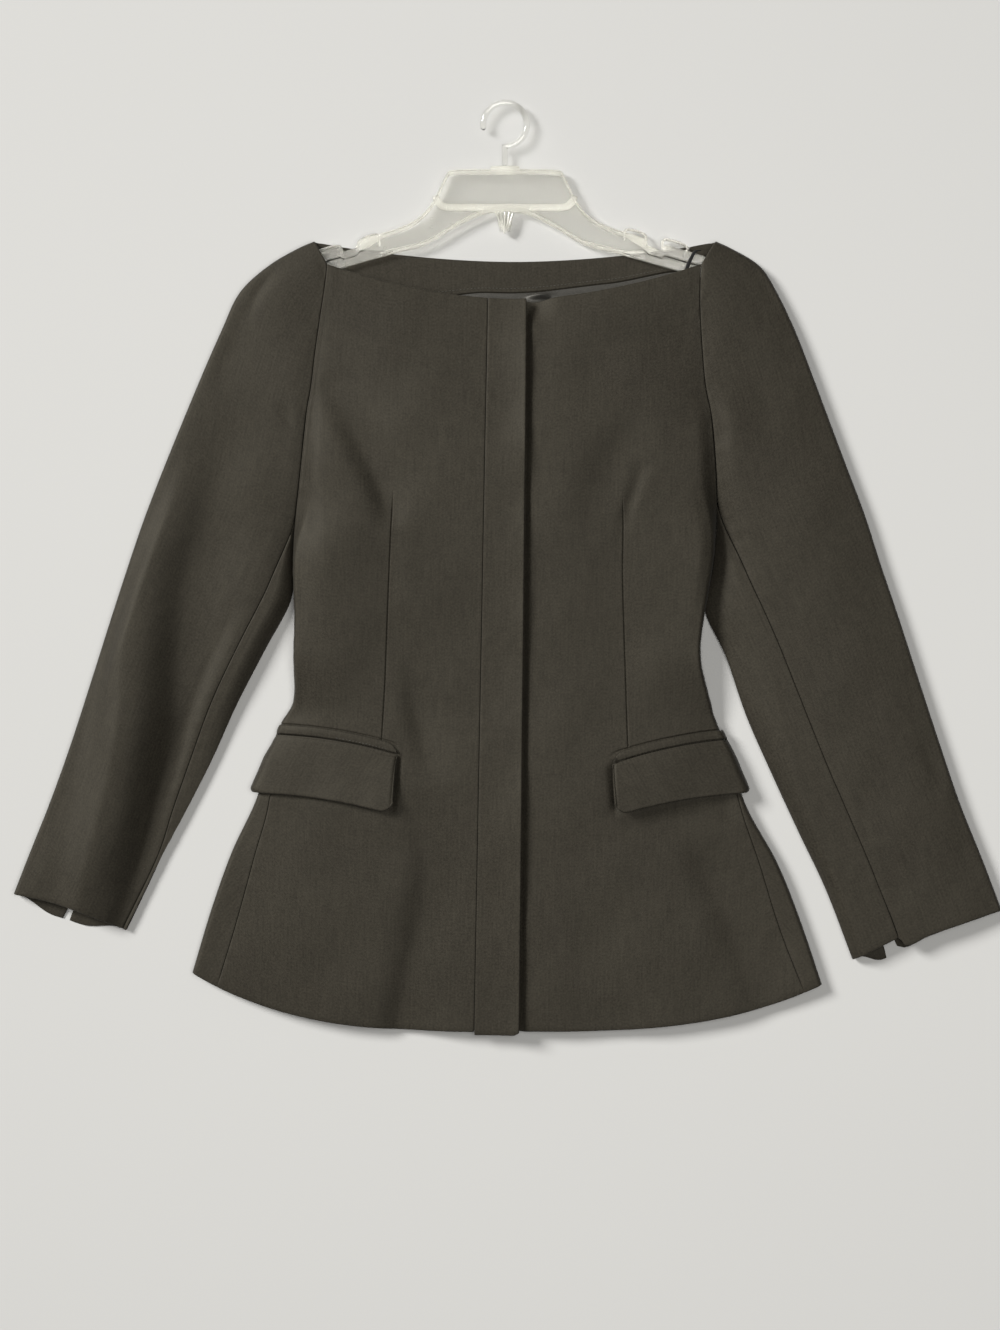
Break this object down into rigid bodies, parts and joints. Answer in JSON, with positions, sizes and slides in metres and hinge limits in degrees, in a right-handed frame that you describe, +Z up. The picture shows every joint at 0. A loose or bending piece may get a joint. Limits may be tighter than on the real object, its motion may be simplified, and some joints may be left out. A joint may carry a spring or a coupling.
{
  "type": "off-shoulder blazer on a clothes hanger",
  "caption": "Fitted off-shoulder blazer in dark crepe with a hidden-closure placket, flap pockets and a peplum hem, lying flat on its back on a clear moulded hanger.",
  "frame": {"origin": "middle of the footprint on the surface it lies on", "axes": "+Z up from the surface, +Y from hem to neck, +X to the right as seen from above"},
  "size_m": [0.929, 0.8782, 0.0372],
  "materials": {
    "shell_cloth": "matte crepe",
    "lining_satin": "satin",
    "clear_plastic": "clear gloss"
  },
  "bodies": {
    "root": {"front_left": "shell_cloth", "placket": "shell_cloth", "front_right": "shell_cloth", "back": "shell_cloth", "upper_sleeve_left": "shell_cloth", "under_sleeve_left": "shell_cloth", "upper_sleeve_right": "shell_cloth", "under_sleeve_right": "shell_cloth", "welt_left": "shell_cloth", "flap_left": "shell_cloth", "welt_right": "shell_cloth", "flap_right": "shell_cloth", "back_facing": "shell_cloth", "hanger_loop": "shell_cloth", "lining": "lining_satin", "hanger": "clear_plastic", "hanger_hook": "clear_plastic"}
  },
  "joints": []
}
